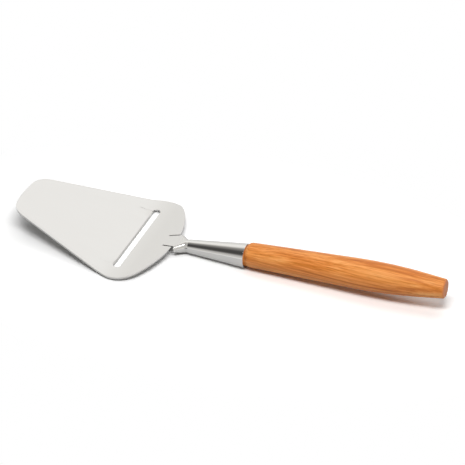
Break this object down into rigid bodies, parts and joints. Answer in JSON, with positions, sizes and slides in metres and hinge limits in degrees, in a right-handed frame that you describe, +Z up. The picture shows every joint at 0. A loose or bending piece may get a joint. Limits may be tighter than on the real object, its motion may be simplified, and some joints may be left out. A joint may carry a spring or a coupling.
{
  "type": "cheese plane",
  "caption": "Hand-held cheese plane: trapezoid steel blade with a raised-lip slicing slot, neck rolled into a conical socket, and a turned wooden handle.",
  "frame": {"origin": "middle of the footprint, on the table that the plane lies on", "axes": "+X along the tool towards the handle's end, +Z up from the table, the tool is symmetric about y = 0"},
  "size_m": [0.2442, 0.0776, 0.0203],
  "materials": {
    "blade_steel": "satin stainless steel, polished on the socket",
    "tang_steel": "plain drawn steel",
    "handle_wood": "turned cherry, oiled to a satin sheen"
  },
  "bodies": {
    "root": {"blade": "blade_steel", "tang": "tang_steel", "handle": "handle_wood"}
  },
  "joints": []
}
